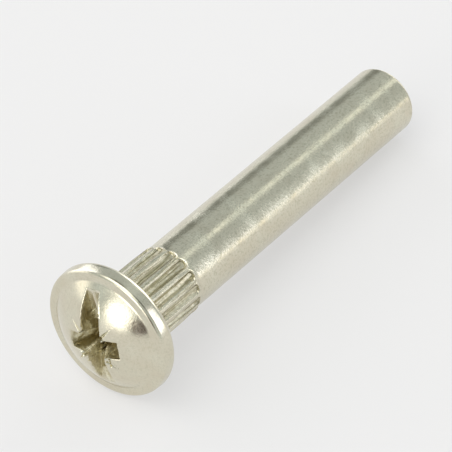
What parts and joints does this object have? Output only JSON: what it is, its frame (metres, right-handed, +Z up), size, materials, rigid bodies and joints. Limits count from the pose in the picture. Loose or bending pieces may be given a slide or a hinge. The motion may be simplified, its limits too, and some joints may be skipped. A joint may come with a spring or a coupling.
{
  "type": "binding barrel nut",
  "caption": "Barrel nut with a domed head, combined slot and cross recess, fluted neck, long plain barrel and blind threaded bore.",
  "frame": {"origin": "on the floor under the middle of the lying nut's bounding box", "axes": "+Z up from the floor; +X runs along the lying nut from its head to its open end; the nut's own axis lies in the XZ plane and falls by 4.30 degrees toward +X"},
  "size_m": [0.0519, 0.015, 0.015],
  "materials": {
    "nickel_plated_steel": "nickel plating, bright, with fine drawing and tumbling marks"
  },
  "bodies": {
    "root": {"barrel_nut": "nickel_plated_steel"}
  },
  "joints": []
}
